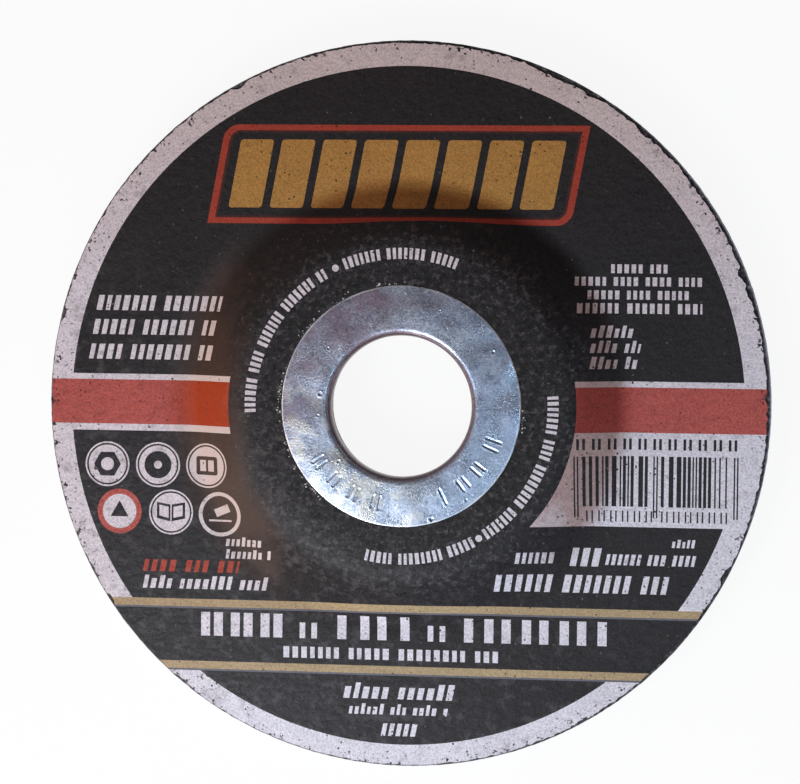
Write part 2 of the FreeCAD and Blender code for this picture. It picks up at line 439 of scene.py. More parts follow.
# Torn places of the paper's edge: angle in degrees, length along the edge and depth
EDGE_TEARS = ((66, 10.0, 0.6), (59, 4.0, 0.4), (49, 3.0, 0.3), (44, 2.0, 0.3),
              (22, 2.6, 0.8), (19, 2.5, 0.4), (2, 2.0, 0.4), (118, 3.0, 0.5),
              (166, 2.6, 0.8), (180, 2.2, 0.5), (208, 6.0, 0.4), (214, 2.0, 0.6),
              (232, 5.0, 0.4), (300, 3.0, 0.3), (318, 5.0, 0.5), (333, 3.0, 0.6))

# How far the paper's edge waves and frays, and how far it lies outside its trimmed circle
EDGE_WAVES = 0.16
EDGE_FRAYS = 0.26
EDGE_SHIFT = 0.14
HOLE_FRAYS = 0.3

# Angles, in degrees, at which flecks of bare paper gather round the ring
SPECK_ANGLES = (100, 120, 137, 169, 183, 197, 216, 224, 354)


def paper_outline(count=900):
    """Cut edge of the paper: a circle, a little ragged, with the torn places."""
    points = []
    for step in range(count):
        turn = 2 * math.pi * step / count
        ragged = EDGE_WAVES * noise.noise(Vector((*polar(9, turn), 3.0)))
        ragged += EDGE_FRAYS * noise.noise(Vector((*polar(70, turn), 7.0)))
        for angle, length, depth in EDGE_TEARS:
            apart = abs((math.degrees(turn) - angle + 180) % 360 - 180) * math.radians(PAPER_RADIUS)
            bite = max(0.0, 1.0 - (2 * apart / length) ** 2)
            ragged -= depth * bite * (0.75 + 0.5 * noise.noise(Vector((45 * turn, angle, 0.0))))
        point = Vector(polar(PAPER_RADIUS + EDGE_SHIFT + ragged, turn, PAPER_CENTRE))
        if point.length > LONGEST_REACH:
            point.length = LONGEST_REACH
        points.append(tuple(point))
    return points


def paper_hole(count=420):
    """Inner edge of the paper round the steel ring, a little ragged."""
    points = []
    for step in range(count):
        turn = 2 * math.pi * step / count
        slow = noise.noise(Vector((*polar(12, turn), 1.0)))
        quick = noise.noise(Vector((*polar(55, turn), 5.0)))
        points.append(polar(PAPER_HOLE + HOLE_FRAYS * (max(0.0, slow) + max(0.0, quick)), turn))
    return points


def torn_specks():
    """Flecks of bare paper where the ring was pressed in."""
    shapes = []
    rng = random.Random(5)
    for _ in range(84):
        turn = math.radians(rng.gauss(rng.choice(SPECK_ANGLES), 4.5))
        reach = RING_RADIUS + 0.14 + abs(rng.gauss(0.0, 0.3))
        size = rng.uniform(0.05, 0.17)
        speck = polygon(polar(reach, turn), size, rng.randint(4, 6), rng.uniform(0, 6.28))
        shapes.append(("bare", speck))
    return shapes


def form_circles():
    """Closed rings of points where the paper bends, so that the mesh follows the slope."""
    start = SHOULDER_RADIUS - 1.4
    stop = FOOT_RADIUS + 1.6
    count = 26
    slope = [circle((0, 0), start + (stop - start) * step / count, 200) for step in range(count + 1)]
    return slope + [circle((0, 0), 21.5, 180)]


def anticlockwise(points):
    area = sum(a[0] * b[1] - b[0] * a[1] for a, b in zip(points, points[1:] + points[:1]))
    return points if area > 0 else points[::-1]


def triangulate(layers, guides):
    """Triangles over all the layers: (points, triangles, number of the top layer of each)."""
    points = []
    faces = []
    edges = []
    for _, outline in layers:
        start = len(points)
        points += [Vector(point) for point in anticlockwise(outline)]
        faces.append(list(range(start, len(points))))
    for guide in guides:
        start = len(points)
        points += [Vector(point) for point in guide]
        count = len(guide)
        edges += [(start + step, start + (step + 1) % count) for step in range(count)]
    result = delaunay_2d_cdt(points, edges, faces, 1, 1e-4, True)
    return result[0], result[2], [max(inside, default=-1) for inside in result[5]]


# The bake map: the printed face seen from above, and the other faces very small in one corner
MAP_WIDTH = 2.02 * DISC_RADIUS
MAP_CORNER = 0.03
MAP_SHRINK = 0.0004


def make_label():
    """The printed paper: one sheet whose faces carry the inks, with its cut edges."""
    outline = paper_outline()
    hole = paper_hole()
    layers = [("white", outline)] + field_and_bands() + gold_lines() + framed_panel() + pictograms()
    layers += bar_field() + word_rows() + hub_rows() + torn_specks()
    layers.append(("hole", hole))
    points, triangles, tops = triangulate(layers, form_circles())

    faces = []
    inks = []
    inside = inside_test(outline)
    for triangle, top in zip(triangles, tops):
        centre = sum((points[corner] for corner in triangle), Vector((0, 0))) / 3
        if top < 0 or layers[top][0] == "hole" or not inside(centre):
            continue
        faces.append(triangle)
        inks.append(INKS.index(layers[top][0]))
    used = sorted({corner for face in faces for corner in face})
    number = {corner: place for place, corner in enumerate(used)}
    faces = [tuple(number[corner] for corner in face) for face in faces]
    vertices = [Vector((*points[corner], face_height(points[corner].length))) for corner in used]
    normals = [face_normal(vertex.x, vertex.y) for vertex in vertices]
    return build_label_mesh(vertices, faces, inks, normals)


def inside_test(outline):
    """A quick test for points inside the paper's outline, by angle and reach from its centre."""
    reaches = [math.dist(point, PAPER_CENTRE[:2]) for point in outline]
    count = len(reaches)

    def inside(point):
        turn = math.atan2(point.y - PAPER_CENTRE.y, point.x - PAPER_CENTRE.x) % (2 * math.pi)
        place = turn / (2 * math.pi) * count
        first = int(place) % count
        share = place - int(place)
        reach = reaches[first] * (1 - share) + reaches[(first + 1) % count] * share
        return math.dist(point, PAPER_CENTRE[:2]) < reach

    return inside


def cut_edges(faces, below):
    """Quads down from the edges that only one face uses, to points numbered below later."""
    edge_use = {}
    for face in faces:
        for first, second in zip(face, face[1:] + face[:1]):
            key = (min(first, second), max(first, second))
            edge_use.setdefault(key, []).append((first, second))
    free = [uses[0] for uses in edge_use.values() if len(uses) == 1]
    return [(second, first, first + below, second + below) for first, second in free]


def build_label_mesh(vertices, faces, inks, normals):
    """Close the paper below by its thickness and give it its inks."""
    printed = len(faces)
    below = len(vertices)
    vertices = vertices + [vertex - normal * PAPER for vertex, normal in zip(vertices, normals)]
    underside = [tuple(corner + below for corner in reversed(face)) for face in faces]
    faces = faces + cut_edges(faces, below) + underside
    inks = inks + [INKS.index("bare")] * (len(faces) - printed)
    mesh = smooth_mesh("printed_label", vertices, faces)
    for ink in INKS:
        mesh.materials.append(ink_material(ink))
    mesh.polygons.foreach_set("material_index", inks)
    map_label(mesh, vertices, normals, printed)
    return add_object("printed_label", mesh)


def map_label(mesh, vertices, normals, printed):
    """Give the printed faces the form's normals and a top-down map, and the others their own."""
    corner_normals = []
    uv_layer = mesh.uv_layers.new(name="OFBake")
    for face in mesh.polygons:
        top = face.index < printed
        for loop, corner in zip(face.loop_indices, face.vertices):
            corner_normals.append(normals[corner] if top else face.normal)
            place = vertices[corner]
            if top:
                uv = (0.5 + place.x / MAP_WIDTH, 0.5 + place.y / MAP_WIDTH)
            else:
                uv = (MAP_CORNER + MAP_SHRINK * place.x, MAP_CORNER + MAP_SHRINK * place.y)
            uv_layer.data[loop].uv = uv
    mesh.normals_split_custom_set(corner_normals)


# Turned forms

def stretch(start, end, step):
    """Points from start towards end, without end, about step apart."""
    count = max(1, round(math.dist(start, end) / step))
    return [(start[0] + (end[0] - start[0]) * n / count, start[1] + (end[1] - start[1]) * n / count)
            for n in range(count)]


def section_points(corners, steps):
    """A closed section filled in: steps holds the spacing of the run after each corner."""
    points = []
    for corner, after, step in zip(corners, corners[1:] + corners[:1], steps):
        points += stretch(corner, after, step)
    return points


def revolve(name, section, count, shift):
    """Closed mesh of a section turned about the axis, facing outwards. shift gives each point its place."""
    section = anticlockwise(section)
    vertices = []
    for step in range(count):
        turn = 2 * math.pi * step / count
        cosine, sine = math.cos(turn), math.sin(turn)
        for radius, height in section:
            vertices.append(shift(radius, height, cosine, sine))
    rows = len(section)
    faces = []
    for step in range(count):
        here = step * rows
        there = (step + 1) % count * rows
        for row in range(rows):
            after = (row + 1) % rows
            faces.append((here + row, there + row, there + after, here + after))
    return add_object(name, smooth_mesh(name, vertices, faces))


# Moulded grit

GRAIN = 0.95
GRIT_DEPTH = 0.16
PIT_SIZE = 2.1
PIT_DEPTH = 0.1
MESH_PITCH = 5.0
MESH_STRAND = 1.3
MESH_RELIEF = 0.2

MOULDED_FACE = LABEL_FACE - PAPER
MOULDED_BORE = BORE_RADIUS + RING_SHEET
RIM_BEVEL = 0.2
FOOT_BEVEL = 0.4
PAPER_CLEARANCE = 0.04


def grit_depth(place):
    """How far the surface lies below the moulded form: grains stand up, resin and pits lie low."""
    nearest = noise.voronoi(place / GRAIN)[0][0]
    depth = GRIT_DEPTH * min(1.0, nearest * 1.3)
    return depth + PIT_DEPTH * max(0.0, noise.noise(place / PIT_SIZE + Vector((3, 5, 7))) - 0.15)


def strand_height(x, y):
    """Woven mesh under the grit of the working side: 0 between the strands, 1 on top of them."""
    def across(offset):
        apart = abs((offset + MESH_PITCH / 2) % MESH_PITCH - MESH_PITCH / 2)
        return max(0.0, 1.0 - (2 * apart / MESH_STRAND) ** 2)

    weave = math.cos(math.pi * x / MESH_PITCH) * math.cos(math.pi * y / MESH_PITCH)
    return max(across(x) * (0.8 + 0.2 * weave), across(y) * (0.8 - 0.2 * weave))


def grit_section():
    """Closed section of the body, in fine steps where the grit shows."""
    bare = PAPER_RADIUS - 1.4
    seat = RING_LOW.z + 0.6
    covered = [(radius, face_height(radius) - 1.25 * PAPER - PAPER_CLEARANCE)
               for radius in (RING_RADIUS - 0.5, 24.0, 25.5, 27.0, 28.5, 30.0, 33.5, 34.5, 35.5, 36.5)]
    corners = (
        (DISC_RADIUS - RIM_BEVEL, MOULDED_FACE), (DISC_RADIUS, MOULDED_FACE - RIM_BEVEL),
        (DISC_RADIUS, FOOT_BEVEL), (DISC_RADIUS - FOOT_BEVEL, 0.0),
        (RECESS_MOUTH_RADIUS + 1.1, 0.0), (RECESS_MOUTH_RADIUS - 1.0, 0.65),
        (RECESS_FLOOR_RADIUS + 0.8, RECESS_FLOOR - 0.5), (RECESS_FLOOR_RADIUS - 0.9, RECESS_FLOOR),
        (MOULDED_BORE, RECESS_FLOOR), (MOULDED_BORE, seat), (RING_RADIUS - 0.5, seat), *covered,
        (bare, MOULDED_FACE - PAPER_CLEARANCE), (bare + 0.3, MOULDED_FACE),
    )
    fine, coarse = 0.45, 9
    steps = (*[fine] * 9, *[coarse] * (2 + len(covered)), fine, fine)
    return section_points(corners, steps)


def grit_place(radius, height, cosine, sine):
    """A point of the turned body, pushed in by the grit where no paper or steel covers it."""
    place = Vector((radius * cosine, radius * sine, height))
    covered = height > MOULDED_FACE - 0.3 and radius < PAPER_RADIUS - 0.7
    lined = MOULDED_BORE - 0.01 < radius < RING_RADIUS and height > RING_LOW.z
    if covered or lined:
        return place
    depth = grit_depth(place)
    if height < RECESS_FLOOR + 0.01 and radius < DISC_RADIUS - 0.3:
        depth = 0.6 * depth + MESH_RELIEF * (1.0 - strand_height(place.x, place.y))
        return place + Vector((0, 0, depth))
    if height >= MOULDED_FACE - 0.05:
        return place - Vector((0, 0, depth))
    outwards = 1.0 if radius > RING_RADIUS else -1.0
    return place - Vector((cosine, sine, 0)) * outwards * 0.45 * depth


def make_grit():
    grit = revolve("grit_disc", grit_section(), 600, grit_place)
    grit.data.materials.append(grit_material())
    return grit


# Pressed ring

# Plain strokes stamped in the ring's face: angle in degrees and length, all at one distance
STAMPED_STROKES = ((213, 1.9), (217, 1.9), (226, 1.9), (230, 1.9), (240, 1.9),
                   (244, 1.9), (254, 1.9), (258, 1.9), (296, 2.6), (308, 1.9),
                   (312, 1.9), (320, 1.9), (324, 1.9), (336, 2.4), (341, 2.4))
STAMP_REACH = 15.6

# Pits in the ring's face: angle in degrees, distance from the axis and radius
RING_PITS = ((172, 12.9, 0.28), (286, 18.3, 0.3), (187, 13.2, 0.16), (306, 17.9, 0.2),
             (222, 13.1, 0.22), (68, 16.2, 0.14), (31, 17.0, 0.2), (142, 14.6, 0.15))

# How far the pressed face falls towards its outer edge, and how far it waves
DOME = 0.3
RING_WAVES = 0.11
RING_BEVEL = 0.15


def stamp_lines():
    """The stamped strokes as pairs of end points."""
    lines = []
    for angle, length in STAMPED_STROKES:
        out = Vector(polar(1, math.radians(angle)))
        lines.append((out * (STAMP_REACH - length / 2), out * (STAMP_REACH + length / 2)))
    return lines


def groove(apart, width, depth):
    """Depth of a pressed groove with a low burr along each side."""
    if apart < width:
        return depth * (1 - (apart / width) ** 2)
    if apart < 2.2 * width:
        return -0.25 * depth * math.sin(math.pi * (apart - width) / (1.2 * width))
    return 0.0


def ring_section():
    """Closed section of the ring: outer edge, pressed face, rounded lip and collar."""
    face = RING_HIGH.z
    outer = [(RING_RADIUS, face - RING_SHEET), (RING_RADIUS, face - RING_BEVEL),
             (RING_RADIUS - RING_BEVEL * 0.3, face - RING_BEVEL * 0.3), (RING_RADIUS - RING_BEVEL, face)]
    flat = stretch(outer[-1], (BORE_RADIUS + LIP_ROUND, face), 0.15)[1:]
    lip = [(BORE_RADIUS + LIP_ROUND * (1 - math.sin(turn)), face - LIP_ROUND * (1 - math.cos(turn)))
           for turn in (math.pi / 2 * step / 12 for step in range(13))]
    collar = [(BORE_RADIUS, RING_LOW.z + 0.08), (BORE_RADIUS + 0.08, RING_LOW.z),
              (MOULDED_BORE, RING_LOW.z), (MOULDED_BORE, face - 2 * RING_SHEET),
              (BORE_RADIUS + 2 * RING_SHEET, face - RING_SHEET)]
    return outer + flat + lip + collar


def make_ring():
    lines = stamp_lines()
    pits = [(polar(reach, math.radians(angle)), size) for angle, reach, size in RING_PITS]

    def pressed(radius, height, cosine, sine):
        place = Vector((radius * cosine, radius * sine, height))
        if height < RING_HIGH.z - 0.4 or radius < BORE_RADIUS + 0.5:
            return place
        flat_place = place.to_2d()
        depth = DOME * ((radius - BORE_RADIUS - LIP_ROUND) / (RING_RADIUS - BORE_RADIUS)) ** 2
        depth += RING_WAVES * noise.noise(place / 4.5) + 0.08
        if 13.5 < radius < 17.6:
            for start, end in lines:
                along = end - start
                share = max(0.0, min(1.0, (flat_place - start).dot(along) / along.length_squared))
                depth += groove((flat_place - start - share * along).length, 0.2, 0.13)
        for centre, size in pits:
            depth += groove(math.dist(flat_place, centre), size, 0.2)
        return place - Vector((0, 0, max(0.0, depth)))

    ring = revolve("pressed_ring", ring_section(), 720, pressed)
    ring.data.materials.append(zinc_material())
    return ring


# Materials

class Nodes:
    """Short calls that build one material's node tree. Sizes are in millimetres."""

    def __init__(self, name):
        self.material = bpy.data.materials.new(name)
        self.material.use_nodes = True
        self.tree = self.material.node_tree
        self.shader = self.tree.nodes["Principled BSDF"]
        self.place = self.add("TexCoord").outputs["Object"]

    def add(self, kind):
        return self.tree.nodes.new("ShaderNode" + kind)

    def link(self, source, socket):
        self.tree.links.new(source, socket)

    def finish(self, colour, roughness, normal):
        """Give the shader its colour, roughness and relief, and hand back the material."""
        for name, source in (("Base Color", colour), ("Roughness", roughness), ("Normal", normal)):
            self.link(source, self.shader.inputs[name])
        return self.material

    def noise(self, size, detail=2.0, roughness=0.5, place=None):
        """Noise from 0 to 1 whose features are about size across."""
        node = self.add("TexNoise")
        node.inputs["Scale"].default_value = 1 / (size * MM)
        node.inputs["Detail"].default_value = detail
        node.inputs["Roughness"].default_value = roughness
        self.link(place or self.place, node.inputs["Vector"])
        return node.outputs["Fac"]

    def cells(self, size, output="Distance", flat=False):
        node = self.add("TexVoronoi")
        node.voronoi_dimensions = "2D" if flat else "3D"
        node.inputs["Scale"].default_value = 1 / (size * MM)
        self.link(self.place, node.inputs["Vector"])
        return node.outputs[output]

    def cell_values(self, size, flat=False):
        """Three random values of each cell, from 0 to 1, by the names Red, Green and Blue."""
        node = self.add("SeparateColor")
        self.link(self.cells(size, "Color", flat), node.inputs["Color"])
        return node.outputs

    def dots(self, spacing, share, largest):
        """Round spots, 0 to 1, in a share of the cells of a flat pattern."""
        chance = self.cell_values(spacing, flat=True)["Red"]
        size = self.ramp(chance, 1 - share, 1.0, -0.1, largest / spacing)
        uneven = self.ramp(self.noise(0.3), 0.2, 0.8, -0.12, 0.12)
        gap = self.maths("SUBTRACT", size, self.plus(self.cells(spacing, flat=True), uneven))
        return self.ramp(gap, 0.0, 0.06)

    def along(self, x, y, z=0.0):
        """Distance from the axis in a direction."""
        node = self.add("VectorMath")
        node.operation = "DOT_PRODUCT"
        node.inputs[1].default_value = Vector((x, y, z)).normalized() / MM
        self.link(self.place, node.inputs[0])
        return node.outputs["Value"]

    def reach(self):
        """Distance from the disc's axis."""
        node = self.add("VectorMath")
        node.operation = "LENGTH"
        self.link(self.stretched(1 / MM, 1 / MM, 0.0), node.inputs[0])
        return node.outputs["Value"]

    def stretched(self, x, y, z):
        node = self.add("Mapping")
        node.inputs["Scale"].default_value = (x, y, z)
        self.link(self.place, node.inputs["Vector"])
        return node.outputs["Vector"]

    def ramp(self, value, low, high, start=0.0, end=1.0):
        """value from low to high becomes start to end, and is held outside that."""
        node = self.add("MapRange")
        self.fill(node.inputs, (value, low, high, start, end))
        return node.outputs["Result"]

    def fill(self, sockets, values):
        """Give each socket its value: a number or colour is set, and an output is linked."""
        for socket, value in zip(sockets, values):
            if isinstance(value, (int, float, tuple)):
                socket.default_value = value
            else:
                self.link(value, socket)

    def maths(self, operation, first, second):
        node = self.add("Math")
        node.operation = operation
        self.fill(node.inputs, (first, second))
        return node.outputs["Value"]

    def times(self, first, second):
        return self.maths("MULTIPLY", first, second)

    def plus(self, first, second):
        return self.maths("ADD", first, second)

    def larger(self, first, second):
        return self.maths("MAXIMUM", first, second)

    def mix(self, share, first, second, blend="MIX"):
        node = self.add("Mix")
        node.data_type = "RGBA"
        node.blend_type = blend
        self.fill((node.inputs[0], node.inputs[6], node.inputs[7]), (share, first, second))
        return node.outputs[2]

    def bump(self, height, distance, below=None):
        """distance is the relief between heights 0 and 1."""
        node = self.add("Bump")
        node.inputs["Distance"].default_value = distance * MM
        self.link(height, node.inputs["Height"])
        if below:
            self.link(below, node.inputs["Normal"])
        return node.outputs["Normal"]


# Each ink's colour, the colour that shows through it, the share of spots and the depth of its mottling
INK_COLOURS = {
    "white": (linear(219, 207, 212), linear(44, 38, 40), 0.34, 0.22),
    "black": (linear(34, 29, 31), linear(92, 86, 86), 0.06, 0.6),
    "red": (linear(180, 82, 74), linear(104, 40, 38), 0.2, 0.28),
    "gold": (linear(174, 146, 110), linear(74, 58, 46), 0.34, 0.22),
    "grey": (linear(104, 99, 106), linear(60, 56, 58), 0.1, 0.1),
    "orange": (linear(168, 62, 44), linear(84, 34, 26), 0.12, 0.2),
    "amber": (linear(180, 132, 66), linear(84, 60, 36), 0.3, 0.26),
    "rust": (linear(70, 34, 30), linear(50, 26, 22), 0.08, 0.2),
    "bare": (linear(196, 188, 184), linear(104, 94, 90), 0.3, 0.2),
}
INKS = tuple(INK_COLOURS)

# The print is darker and browner towards the frame's side of the disc, and has painted cool light at the
# lower right.
# On the part of the slope that faces away from the light it has painted shade, with some dirt.
DARKER_BROWNER_TOP = (0.9, 0.8, 0.73, 1.0)
PAINTED_COOL_LIGHT = (1.04, 1.13, 1.18, 1.0)
SLOPE_SHADE_AND_DIRT = (0.6, 0.44, 0.38, 1.0)

# Colours that the inks turn towards on the left part of the slope: painted warm light where the warm lamp
# falls on it
WARM_LIGHT_TONES = {
    "white": linear(206, 186, 178),
    "black": linear(76, 60, 53),
    "red": linear(160, 50, 2),
}


def slope_share(nodes, x, y, low, high, reaches):
    """1 on one side's part of the slope and 0 elsewhere, with a cloudy edge.

    x and y give the side, low and high where the part begins and is full, and reaches the distances
    at which it begins and is full on the way out, then is last full and ends.
    """
    cloud = nodes.ramp(nodes.noise(6.0, 3.0), 0.3, 0.7, -3.0, 3.0)
    side = nodes.ramp(nodes.plus(nodes.along(x, y), cloud), low, high)
    inner = nodes.ramp(nodes.reach(), reaches[0], reaches[1])
    outer = nodes.ramp(nodes.reach(), reaches[3], reaches[2])
    return nodes.times(side, nodes.times(inner, outer))


def mottled(nodes, colour, depth, streaks):
    """An ink's own colour in clouds, streaks and fine grain."""
    paler = tuple(min(1.0, (1 + depth) * level) for level in colour[:3]) + (1.0,)
    deeper = tuple((1 - depth) * level for level in colour[:3]) + (1.0,)
    broad = nodes.ramp(nodes.noise(8.0, 3.0), 0.3, 0.7)
    fine = nodes.ramp(nodes.noise(0.34), 0.4, 0.6)
    tone = nodes.mix(nodes.times(nodes.plus(broad, streaks), 0.5), deeper, paler)
    return nodes.mix(0.6, tone, nodes.mix(fine, deeper, paler))


def worn_black(nodes, tone, below):
    """Black print, rubbed on the hub, pitted most round the ring and blotched at the lower left."""
    hub = nodes.ramp(nodes.reach(), 33.0, 28.0)
    near_ring = nodes.ramp(nodes.reach(), RING_RADIUS + 5.0, RING_RADIUS + 0.5, 0.0, 0.06)
    rubbed = nodes.ramp(nodes.noise(1.0, 3.0, 0.7), 0.52, 0.62, 0.0, 0.55)
    tone = nodes.mix(nodes.times(rubbed, hub), tone, below)
    pitted = nodes.plus(nodes.noise(0.9, 3.0, 0.65), nodes.plus(nodes.times(hub, 0.08), near_ring))
    tone = nodes.mix(nodes.ramp(pitted, 0.63, 0.67, 0.0, 0.9), tone, linear(12, 10, 11))
    blotches = nodes.ramp(nodes.noise(2.2, 4.0, 0.65), 0.52, 0.66, 0.0, 0.4)
    lower_left = nodes.ramp(nodes.along(-0.6, -0.8), 0.0, 25.0)
    return nodes.mix(nodes.times(blotches, lower_left), tone, below)


def worn_pale(nodes, tone, spots, below):
    """Tone and spots of pale or red print, smudged, and torn most at the rim and the lower left."""
    wear_and_highlight = nodes.ramp(nodes.along(-0.85, -0.52), 30.0, 57.0, 0.0, 0.07)
    rim = nodes.ramp(nodes.reach(), PAPER_RADIUS - 2.2, PAPER_RADIUS, 0.0, 0.13)
    torn = nodes.plus(nodes.noise(0.75, 3.0, 0.6), nodes.larger(rim, wear_and_highlight))
    smudged = nodes.ramp(nodes.plus(nodes.noise(1.8, 3.0, 0.6), wear_and_highlight), 0.58, 0.72, 0.0, 0.3)
    return nodes.mix(smudged, tone, below), nodes.larger(spots, nodes.ramp(torn, 0.71, 0.74))


def tone_by_place(nodes, ink, tone):
    """Tone with painted warm light on the left part of the slope, painted shade with some dirt on the part
    away from the light, the drift to darker and browner towards the top, and painted cool light at the
    lower right.
    """
    # Painted warm light on the left part of the slope.
    if ink in WARM_LIGHT_TONES:
        warm_lit = slope_share(nodes, -0.99, -0.14, 21.0, 28.0, (23.4, 26.9, 33.0, 39.0))
        tone = nodes.mix(warm_lit, tone, WARM_LIGHT_TONES[ink])
    # Painted shade, with some dirt, on the part of the slope that faces away from the light.
    shaded_side = (-0.3, 0.95) if ink == "black" else (0.75, 0.66)
    shade_and_dirt = slope_share(nodes, *shaded_side, -4.0, 8.0, (25.5, 27.5, 33.5, 36.5))
    tone = nodes.mix(shade_and_dirt, tone, SLOPE_SHADE_AND_DIRT, "MULTIPLY")
    # Darker and browner towards the top of the disc.
    tone = nodes.mix(nodes.ramp(nodes.along(0.0, 1.0), 20.0, 52.0), tone, DARKER_BROWNER_TOP, "MULTIPLY")
    # Painted cool light: the print is brighter and bluer towards the lower right.
    return nodes.mix(nodes.ramp(nodes.along(0.5, -0.87), 2.0, 32.0), tone, PAINTED_COOL_LIGHT, "MULTIPLY")


def ink_material(ink):
    """Printed paper over grit: worn ink, small spots that show what is below it, a pebbled surface."""
    nodes = Nodes(f"label_{ink}")
    colour, below, share, depth = INK_COLOURS[ink]
    streaks = nodes.ramp(nodes.noise(0.9, 3.0, place=nodes.stretched(0.35, 1.0, 1.0)), 0.3, 0.7)
    tone = mottled(nodes, colour, depth, streaks)
    patches = nodes.ramp(nodes.noise(14.0), 0.4, 0.62, 0.3, 1.0)
    spots = nodes.times(nodes.dots(0.75, share, 0.2), patches)
    if ink == "black":
        tone = worn_black(nodes, tone, below)
    if ink in ("white", "red"):
        tone, spots = worn_pale(nodes, tone, spots, below)
    tone = tone_by_place(nodes, ink, tone)
    dull_slope = nodes.ramp(nodes.reach(), 39.0, 36.0, 0.0, 0.25)
    dull_slope = nodes.times(nodes.ramp(nodes.reach(), 26.0, 29.0), dull_slope)
    rough = nodes.plus(nodes.ramp(nodes.noise(0.6), 0.3, 0.7, 0.36, 0.52), dull_slope)
    nodes.shader.inputs["Specular IOR Level"].default_value = 0.32
    pebbles = nodes.bump(nodes.noise(1.3), 0.09)
    wrinkles = nodes.bump(streaks, 0.008, below=pebbles)
    grain = nodes.bump(nodes.noise(0.26), 0.02, below=wrinkles)
    return nodes.finish(nodes.mix(spots, tone, below), rough, grain)


def weave_strand(nodes, x, y):
    """1 on the strands of the woven mesh that run across one direction, with frayed edges."""
    frayed = nodes.plus(nodes.along(x, y), nodes.ramp(nodes.noise(1.5), 0.2, 0.8, -0.4, 0.4))
    return nodes.ramp(nodes.maths("PINGPONG", frayed, MESH_PITCH / 2), MESH_STRAND * 0.6, MESH_STRAND * 0.3)


def side_dust_and_sheen(nodes):
    """Share of the pale colour on the disc's side, pale dust and a painted sheen, which lies thickest on
    the middle of each grain.
    """
    outer = nodes.ramp(nodes.reach(), DISC_RADIUS - 0.5, DISC_RADIUS - 0.2)
    side = nodes.ramp(nodes.along(0, 0, 1), LABEL_FACE - 0.3, LABEL_FACE - 0.5)
    uneven = nodes.ramp(nodes.noise(0.6, 3.0, 0.6), 0.25, 0.75, -0.3, 0.3)
    dust_and_sheen = nodes.ramp(nodes.plus(nodes.cells(0.8), uneven), 0.25, 0.8, 0.84, 0.36)
    return nodes.times(nodes.times(outer, side), dust_and_sheen)


def grit_material():
    """Resin-bonded grit: near-black resin, grey grains, a few brown and a few that glint."""
    nodes = Nodes("bonded_grit")
    values = nodes.cell_values(0.8)
    grain = nodes.mix(values["Red"], linear(40, 36, 38), linear(88, 81, 84))
    brown = nodes.ramp(values["Green"], 0.86, 0.9, 0.0, 0.6)
    grain = nodes.mix(brown, grain, linear(92, 68, 58))
    glint = nodes.ramp(values["Blue"], 0.94, 0.96)
    grain = nodes.mix(glint, grain, linear(150, 145, 150))
    between = nodes.ramp(nodes.cells(0.8), 0.35, 0.6)
    tone = nodes.mix(between, grain, linear(26, 23, 25))
    dust = nodes.ramp(nodes.noise(5.0, 3.0), 0.45, 0.75, 0.0, 0.3)
    tone = nodes.mix(dust, tone, linear(108, 103, 108))
    strands = nodes.larger(weave_strand(nodes, 1, 0), weave_strand(nodes, 0, 1))
    below = nodes.ramp(nodes.along(0, 0, 1), RECESS_FLOOR + 0.5, RECESS_FLOOR + 0.2, 0.0, 0.2)
    tone = nodes.mix(nodes.times(strands, below), tone, linear(134, 126, 120))
    # Pale lavender on the disc's side: dust and a painted sheen.
    tone = nodes.mix(side_dust_and_sheen(nodes), tone, linear(192, 188, 206))
    rough = nodes.ramp(values["Blue"], 0.9, 0.96, 0.7, 0.35)
    coarse = nodes.bump(nodes.cells(0.8), -0.2)
    fine = nodes.bump(nodes.noise(0.3, 3.0), 0.06, below=coarse)
    return nodes.finish(tone, rough, fine)


def zinc_tone(nodes, spangle):
    """Bluish clouds with spangle and frost, painted glare at the lower left, a painted bluer reflection
    towards the right, purplish stains deepened towards the upper left as a painted dark reflection, and
    dark stains.
    """
    clouds = nodes.ramp(nodes.noise(8.0, 3.0), 0.35, 0.65)
    tone = nodes.mix(clouds, linear(156, 192, 240), linear(200, 223, 252))
    tone = nodes.mix(0.34, tone, nodes.mix(spangle, linear(112, 124, 150), linear(232, 238, 248)))
    frost = nodes.ramp(nodes.noise(0.3, 3.0, 0.7), 0.35, 0.65)
    tone = nodes.mix(0.56, tone, nodes.mix(frost, linear(80, 92, 120), linear(246, 250, 255)))
    # Painted glare: bright patches on the lower left part of the face.
    painted_glare = nodes.ramp(nodes.noise(3.6, 3.0, 0.6), 0.5, 0.58, 0.0, 0.75)
    painted_glare = nodes.times(painted_glare, nodes.ramp(nodes.along(-0.7, -0.71), 7.0, 12.0))
    tone = nodes.mix(painted_glare, tone, linear(238, 240, 236))
    # Painted reflection: bluer towards the right, where the bluish window reflects.
    painted_blue_reflection = nodes.ramp(nodes.along(0.95, -0.3), 6.0, 16.0, 0.0, 0.4)
    tone = nodes.mix(painted_blue_reflection, tone, linear(182, 206, 242))
    # Purplish stains, deepened towards the upper left as a painted dark reflection.
    purple_stain_and_reflection = nodes.ramp(nodes.noise(5.0, 3.0, 0.6), 0.42, 0.6, 0.15, 0.65)
    purple_stain_and_reflection = nodes.times(purple_stain_and_reflection, nodes.ramp(nodes.along(-0.7, 0.7), 2.0, 14.0, 0.06, 1.0))
    tone = nodes.mix(purple_stain_and_reflection, tone, linear(146, 112, 128))
    stains = nodes.ramp(nodes.noise(1.2, 3.0), 0.63, 0.72, 0.0, 0.6)
    return nodes.mix(stains, tone, linear(84, 88, 104))


